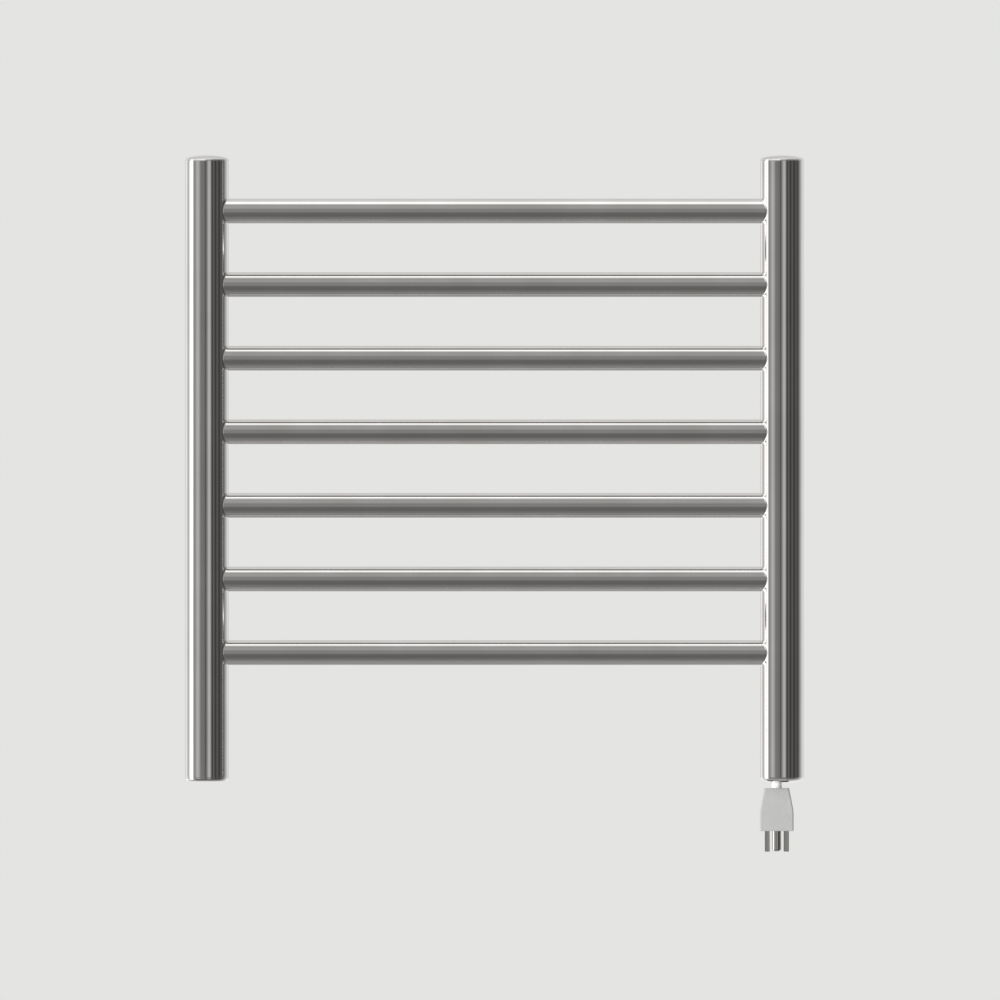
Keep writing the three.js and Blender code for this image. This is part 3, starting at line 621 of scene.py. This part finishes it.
def dress(piece, node, body, material):
    """Puts the piece in its node's place on a body, with its finish."""
    piece.data.name = piece.name
    piece.data.materials.clear()
    piece.data.materials.append(material)
    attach(piece, body)
    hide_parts(node)


# ---- Posts and their caps ----

TUBE_EDGE = 0.5 * MM  # broken edge at a tube's cut ends
CAP_WALL = 1.2 * MM
CAP_SKIRT = 10 * MM
CAP_SKIRT_OUTSIDE = POST_BORE - 0.3 * MM  # with room to slide into the post
CAP_SKIRT_INSIDE = CAP_SKIRT_OUTSIDE - CAP_WALL
CAP_RIM = 0.15 * MM
SEAM = 0.06 * MM  # hairline between a post and its cap
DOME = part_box("top_cap_left")[1].z - POST_TOP - CAP_RIM
DOME_HOLLOW = DOME - 1.5 * CAP_WALL  # the dome is thickest in the middle
FLAT_CAP = 3 * MM
FLAT_CAP_EDGE = 2.7 * MM

GROMMET_RADIUS = size_of("cord_grommet").x / 2
GROMMET_LIP = 1.4 * MM  # from its neck out to the rim of its lip
CORD_HOLE = GROMMET_RADIUS - GROMMET_LIP + 0.3 * MM  # with a little play round the neck
CORD_HOLE_CUT = 20 * MM  # longer than the cap is high


def make_post(side):
    """A tube, its ends cut square with their edges broken."""
    outline = [
        (POST_BORE, POST_BOTTOM),
        *rounded((POST_RADIUS - TUBE_EDGE, POST_BOTTOM + TUBE_EDGE), TUBE_EDGE, -90, 90),
        *rounded((POST_RADIUS - TUBE_EDGE, POST_TOP - TUBE_EDGE), TUBE_EDGE, 0, 90),
        (POST_BORE, POST_TOP),
        (POST_BORE, POST_BOTTOM),
    ]
    centre = (middle_of(f"post_{side}").x, POST_AXIS.y, 0)
    return turned(f"polished_post_{side}", outline, centre)


def cap_outline(cover, hollow):
    """A cover with a skirt inside the post, its seat at height 0, from the axis round to the axis."""
    return [
        *hollow,
        (CAP_SKIRT_INSIDE, -CAP_SKIRT),
        (CAP_SKIRT_OUTSIDE, -CAP_SKIRT),
        (CAP_SKIRT_OUTSIDE, SEAM),
        (POST_RADIUS - SEAM, SEAM),
        *cover,
    ]


def domed_cap():
    hollow = rounded((0, 0), CAP_SKIRT_INSIDE, 90, -90, rise=DOME_HOLLOW, steps=10)
    cover = rounded((0, CAP_RIM), POST_RADIUS, 0, 90, rise=DOME, steps=24)
    return cap_outline(cover, hollow)


def flat_cap():
    hollow = [(0, FLAT_CAP - CAP_WALL), (CAP_SKIRT_INSIDE, FLAT_CAP - CAP_WALL)]
    corner = (POST_RADIUS - FLAT_CAP_EDGE, FLAT_CAP - FLAT_CAP_EDGE)
    cover = [*rounded(corner, FLAT_CAP_EDGE, 0, 90, steps=8), (0, FLAT_CAP)]
    return cap_outline(cover, hollow)


def make_cap(row, side):
    """A domed cap, except for the flat one under the left post. The cord passes through one."""
    node = f"{row}_cap_{side}"
    outline = flat_cap() if node == "bottom_cap_left" else domed_cap()
    seat = POST_TOP
    if row == "bottom":
        outline = [(radius, -height) for radius, height in outline]
        seat = POST_BOTTOM
    centre = (middle_of(f"post_{side}").x, POST_AXIS.y, seat)
    cap = turned(f"polished_{node}", outline, centre, margin=0.2 * MM)
    if node == "bottom_cap_right":
        bpy.ops.mesh.primitive_cylinder_add(
            vertices=64,
            radius=CORD_HOLE,
            depth=CORD_HOLE_CUT,
            location=(CORD_AXIS.x, CORD_AXIS.y, POST_BOTTOM),
        )
        cut_with(cap, bpy.context.object)
    return cap


# ---- Bars ----

WELD_FLARE = 0.7 * MM  # radius of the polished fillet between a tube and the post
COPED = 6 * MM  # length of a tube's end that is shaped to the post
BAR_PLAIN = 2 * COPED  # from a bar's end to where it is a plain tube
BAR_FOLLOWS = 1.2 * COPED  # length of a bar's end that follows the post's side
STEM_FOLLOWS = 0.6 * COPED  # and of a stem's


def make_bar(node):
    """A tube coped to both posts and flared where its weld is polished."""
    height = middle_of(node).z
    end = middle_of("post_right").x - POST_RADIUS
    flare = rounded((BAR_RADIUS + WELD_FLARE, end - WELD_FLARE), WELD_FLARE, 180, -90)
    right = [(BAR_RADIUS, end - BAR_PLAIN), (BAR_RADIUS, end - COPED), *flare]
    left = [(radius, -along) for radius, along in reversed(right)]
    outline = [(BAR_BORE, -end), *left, *right, (BAR_BORE, end)]
    outline += [(BAR_BORE, end - BAR_PLAIN), (BAR_BORE, BAR_PLAIN - end), (BAR_BORE, -end)]
    bar = turned(f"polished_{node}", outline, (0, BAR_AXIS_Y, height), "X", steps=96)
    for vertex in bar.data.vertices:
        if abs(vertex.co.x) > end - BAR_FOLLOWS:
            reach = saddle(vertex.co.y - POST_AXIS.y)
            vertex.co.x += math.copysign(reach, vertex.co.x)
    return bar


# ---- Wall brackets ----

PLATE_RADIUS = size_of("wall_plate_top_left").x / 2
PLATE_THICKNESS = 3 * MM
SPIGOT_RADIUS = 7 * MM
SPIGOT_REACH = size_of("wall_plate_top_left").y
SCREW_HOLE = 2.6 * MM
SCREW_HEAD = 4.6 * MM
SCREW_SEAT = 8 * MM
ROSE_RADIUS = size_of("rose_top_left").x / 2
ROSE_WALL = 1.2 * MM
ROSE_FACE = -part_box("rose_top_left")[0].y
ROSE_BACK = -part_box("rose_top_left")[1].y
ROSE_EDGE = 2 * MM
ROSE_HOLE = STEM_RADIUS + 0.4 * MM
ROSE_HOLE_EDGE = 0.3 * MM
GRUB_RADIUS = size_of("grub_screw_top_left").x / 2
GRUB_DISTANCE = -middle_of("grub_screw_top_left").y  # from the wall
GRUB_HOLE = GRUB_RADIUS + 0.15 * MM
HEXAGON_FLATS = 2.8 * MM  # across the flats
HEXAGON_DEPTH = 2 * MM


def make_stem(corner, centre):
    """A round arm, bored to slide on the spigot, coped and welded to the back of the post."""
    edge = 0.4 * MM
    flare = rounded((STEM_RADIUS + WELD_FLARE, POST_BACK - WELD_FLARE), WELD_FLARE, 180, -90)
    outline = [
        (0, STEM_BORE_DEPTH),
        (STEM_BORE, STEM_BORE_DEPTH),
        (STEM_BORE, STEM_START),
        *rounded((STEM_RADIUS - edge, STEM_START + edge), edge, -90, 90),
        (STEM_RADIUS, GRUB_DISTANCE - 2 * GRUB_RADIUS),
        (STEM_RADIUS, GRUB_DISTANCE + 2 * GRUB_RADIUS),
        (STEM_RADIUS, POST_BACK - COPED),
        *flare,
        (0, POST_BACK),
    ]
    stem = turned(f"polished_stem_{corner}", outline, centre, "out", steps=96)
    for vertex in stem.data.vertices:
        if -vertex.co.y > POST_BACK - STEM_FOLLOWS:
            vertex.co.y -= saddle(vertex.co.x - centre[0])
    bpy.ops.mesh.primitive_cylinder_add(
        vertices=48,
        radius=GRUB_HOLE,
        depth=STEM_RADIUS,
        location=(centre[0], -GRUB_DISTANCE, centre[2] - STEM_RADIUS),
    )
    return cut_with(stem, bpy.context.object)


def make_rose(corner, centre):
    """A thin cover that hides the wall plate, with a rolled front edge."""
    inner = ROSE_RADIUS - ROSE_WALL
    bend = ROSE_EDGE - ROSE_WALL
    hole_edge = (ROSE_HOLE + ROSE_HOLE_EDGE, ROSE_FACE - ROSE_HOLE_EDGE)
    outline = [
        (inner, ROSE_BACK),
        (ROSE_RADIUS, ROSE_BACK),
        *rounded((ROSE_RADIUS - ROSE_EDGE, ROSE_FACE - ROSE_EDGE), ROSE_EDGE, 0, 90, steps=8),
        *rounded(hole_edge, ROSE_HOLE_EDGE, 90, 90, steps=4),
        (ROSE_HOLE, ROSE_FACE - ROSE_WALL),
        *rounded((inner - bend, ROSE_FACE - ROSE_WALL - bend), bend, 90, -90, steps=4),
        (inner, ROSE_BACK),
    ]
    return turned(f"polished_rose_{corner}", outline, centre, "out", margin=0.25 * MM)


def make_wall_plate(corner, centre):
    """A turned plate with a spigot, and a stepped hole for its screw."""
    edge = 0.5 * MM
    outline = [
        (SCREW_HOLE, 0),
        (PLATE_RADIUS, 0),
        *rounded((PLATE_RADIUS - edge, PLATE_THICKNESS - edge), edge, 0, 90),
        (SPIGOT_RADIUS, PLATE_THICKNESS),
        *rounded((SPIGOT_RADIUS - edge, SPIGOT_REACH - edge), edge, 0, 90),
        (SCREW_HEAD, SPIGOT_REACH),
        (SCREW_HEAD, SCREW_SEAT),
        (SCREW_HOLE, SCREW_SEAT),
        (SCREW_HOLE, 0),
    ]
    return turned(f"satin_wall_plate_{corner}", outline, centre, "out", steps=96)


def make_grub_screw(corner):
    """A set screw with a broken edge and a hexagon socket in its lower end."""
    low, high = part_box(f"grub_screw_{corner}")
    centre = (low + high) / 2
    edge = 0.3 * MM
    bottom = low.z - centre.z
    top = high.z - centre.z
    outline = [
        (0, bottom),
        *rounded((GRUB_RADIUS - edge, bottom + edge), edge, -90, 90, steps=3),
        *rounded((GRUB_RADIUS - edge, top - edge), edge, 0, 90, steps=3),
        (0, top),
    ]
    screw = turned(f"satin_grub_screw_{corner}", outline, centre, steps=48, margin=0.2 * MM)
    bpy.ops.mesh.primitive_cylinder_add(
        vertices=6,
        radius=HEXAGON_FLATS / 2 / math.cos(math.pi / 6),
        depth=2 * HEXAGON_DEPTH,
        location=(centre.x, centre.y, low.z),
    )
    return cut_with(screw, bpy.context.object)


# ---- Cord and plug ----

PLUG_WALL_ROUND = 1.6 * MM  # radius of the plug's upright edges
PLUG_SHOULDER_ROUND = 1.6 * MM
PLUG_EDGE_ROUND = 0.5 * MM
PLUG_TAPER = 19.8 * MM  # height of the part that narrows towards the cord
PLUG_TOP_WIDTH = 21.6 * MM
PLUG_TOP_DEPTH = 17 * MM
BLADE_TIP = 0.8 * MM
BLADE_ROUND = 0.7 * MM  # radius of a blade's upright edges


def make_cord():
    """The stretch of cord from its clamp in the post down into the plug."""
    low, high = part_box("power_cord")
    edge = 0.3 * MM
    outline = [
        (0, low.z),
        *rounded((CORD_RADIUS - edge, low.z + edge), edge, -90, 90, steps=3),
        *rounded((CORD_RADIUS - edge, high.z - edge), edge, 0, 90, steps=3),
        (0, high.z),
    ]
    return turned("white_power_cord", outline, (CORD_AXIS.x, CORD_AXIS.y, 0), steps=64)


def make_grommet():
    """A rubber bush in the cap's hole, with a lip inside the cap."""
    low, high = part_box("cord_grommet")
    neck = GROMMET_RADIUS - GROMMET_LIP
    hole = CORD_RADIUS + 0.05 * MM  # so that it doesn't share the cord's surface
    seat = high.z - 1.6 * MM  # the underside of the lip
    edge = 0.4 * MM
    outline = [
        *rounded((hole + edge, low.z + edge), edge, 180, 90, steps=3),
        *rounded((neck - edge, low.z + edge), edge, -90, 90, steps=3),
        (neck, seat),
        *rounded((GROMMET_RADIUS - edge, seat + edge), edge, -90, 90, steps=3),
        *rounded((GROMMET_RADIUS - edge, high.z - edge), edge, 0, 90, steps=3),
        (hole, high.z),
        (hole, low.z + edge),
    ]
    centre = (CORD_AXIS.x, CORD_AXIS.y, 0)
    return turned("rubber_cord_grommet", outline, centre, steps=64, margin=0.2 * MM)


def select_edges(piece, wanted):
    """Selects the edges, in edit mode, whose two ends pass the test together."""
    bpy.ops.object.mode_set(mode="EDIT")
    bpy.ops.mesh.select_mode(type="EDGE")
    bpy.ops.mesh.select_all(action="DESELECT")
    bpy.ops.object.mode_set(mode="OBJECT")
    vertices = piece.data.vertices
    for edge in piece.data.edges:
        start, end = (piece.matrix_world @ vertices[index].co for index in edge.vertices)
        edge.select = wanted(start, end)
    bpy.ops.object.mode_set(mode="EDIT")


def make_plug_body():
    """A moulded plug: straight sides, a taper up to the cord, and all its edges rounded."""
    low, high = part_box("plug_body")
    size = high - low
    centre = (high + low) / 2
    straight = size.z - PLUG_TAPER
    bpy.ops.object.select_all(action="DESELECT")
    bpy.ops.mesh.primitive_cube_add(size=1, location=(centre.x, centre.y, low.z + straight / 2))
    piece = bpy.context.object
    piece.name = "grey_plug_body"
    piece.scale = (size.x, size.y, straight)
    bpy.ops.object.transform_apply(location=False, rotation=False, scale=True)
    shoulder = low.z + straight

    def level(height):
        return lambda start, end: abs(start.z - height) < MERGE and abs(end.z - height) < MERGE

    select_edges(piece, level(shoulder))
    bpy.ops.mesh.extrude_region_move(TRANSFORM_OT_translate={"value": (0, 0, PLUG_TAPER)})
    bpy.ops.transform.resize(value=(PLUG_TOP_WIDTH / size.x, PLUG_TOP_DEPTH / size.y, 1))
    select_edges(piece, lambda start, end: abs(start.z - end.z) > MM)
    bpy.ops.mesh.bevel(offset=PLUG_WALL_ROUND, segments=8, affect="EDGES")
    select_edges(piece, level(shoulder))
    bpy.ops.mesh.bevel(offset=PLUG_SHOULDER_ROUND, segments=6, affect="EDGES")
    for height in (low.z, high.z):
        select_edges(piece, level(height))
        bpy.ops.mesh.bevel(offset=PLUG_EDGE_ROUND, segments=4, affect="EDGES")
    bpy.ops.object.mode_set(mode="OBJECT")
    return flatten_shading(finish_mesh(piece))


def make_blade(pole):
    """A flat pin with rounded edges and tip."""
    low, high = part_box(f"plug_blade_{pole}")
    size = high - low
    bpy.ops.object.select_all(action="DESELECT")
    bpy.ops.mesh.primitive_cube_add(size=1, location=(high + low) / 2)
    piece = bpy.context.object
    piece.name = f"nickel_blade_{pole}"
    piece.scale = size
    bpy.ops.object.transform_apply(location=False, rotation=False, scale=True)
    select_edges(piece, lambda start, end: max(start.z, end.z) < low.z + MERGE)
    bpy.ops.mesh.bevel(offset=BLADE_TIP, segments=3, affect="EDGES")
    select_edges(piece, lambda start, end: abs(start.z - end.z) > MM)
    bpy.ops.mesh.bevel(offset=BLADE_ROUND, segments=4, affect="EDGES")
    bpy.ops.object.mode_set(mode="OBJECT")
    return flatten_shading(finish_mesh(piece))


def make_ground_pin():
    """A round pin with a domed nose."""
    low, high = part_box("plug_ground_pin")
    radius = (high.x - low.x) / 2
    nose_height = radius / 2
    nose = rounded((0, low.z + nose_height), radius, -90, 90, rise=nose_height, steps=12)
    outline = [*nose, (radius, high.z), (0, high.z)]
    centre = ((high.x + low.x) / 2, (high.y + low.y) / 2, 0)
    return turned("nickel_ground_pin", outline, centre, steps=64)


# ---- Assembly ----

add_camera()

steel = {axis: polished_stainless(axis) for axis in "XYZ"}
satin = satin_stainless()
nickel = nickel_plated_brass()
plug_plastic = moulded_pvc("light grey moulded PVC", 0xA5A5A5, 0xA9A9A9, 0.55)
cord_plastic = extruded_pvc("white extruded PVC", 0xECECEA, 0xF4F4F2)
rubber = black_rubber()

for side in SIDES:
    dress(make_post(side), f"post_{side}", "rack", steel["Z"])
    for row in ("top", "bottom"):
        dress(make_cap(row, side), f"{row}_cap_{side}", "rack", steel["Z"])
for bar in BARS:
    dress(make_bar(bar), bar, "rack", steel["X"])
for corner in CORNERS:
    plate_middle = middle_of(f"wall_plate_{corner}")
    on_wall = (plate_middle.x, 0, plate_middle.z)
    stem = make_stem(corner, on_wall)
    dress(stem, f"stem_{corner}", "rack", steel["Y"])
    rose = make_rose(corner, on_wall)
    dress(rose, f"rose_{corner}", "wall_fixings", steel["Y"])
    plate = make_wall_plate(corner, on_wall)
    dress(plate, f"wall_plate_{corner}", "wall_fixings", satin)
    grub = make_grub_screw(corner)
    dress(grub, f"grub_screw_{corner}", f"grub_{corner}", satin)
dress(make_cord(), "power_cord", "rack", cord_plastic)
dress(make_grommet(), "cord_grommet", "rack", rubber)
dress(make_plug_body(), "plug_body", "rack", plug_plastic)
for pole in ("line", "neutral"):
    dress(make_blade(pole), f"plug_blade_{pole}", "rack", nickel)
dress(make_ground_pin(), "plug_ground_pin", "rack", nickel)

# The pieces shut inside the tubes keep their CAD shapes.
brown_core = extruded_pvc("brown extruded PVC", 0x53341F, 0x5F3D27)
blue_core = extruded_pvc("blue extruded PVC", 0x28569A, 0x3264AA)
INSIDE = {
    "cord_clamp": nylon(),
    "cord_clamp_screw": satin,
    "line_core": brown_core,
    "neutral_core": blue_core,
    "earth_core": green_yellow_pvc(),
    "terminal_block": porcelain(),
    "terminal_screw_line": bare_brass(),
    "thermal_limiter": phenolic(),
    "line_lead": brown_core,
    "neutral_lead": blue_core,
    "limiter_lead": silicone(),
    "earth_stud": satin,
    "earth_lug": nickel,
    "earth_nut": satin,
    "cable_end_seal": rubber,
}
INSIDE["terminal_screw_neutral"] = INSIDE["terminal_screw_line"]
INSIDE["heating_cable"] = INSIDE["limiter_lead"]
for node, material in INSIDE.items():
    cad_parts[node].data.materials.clear()
    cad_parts[node].data.materials.append(material)

add_studio()
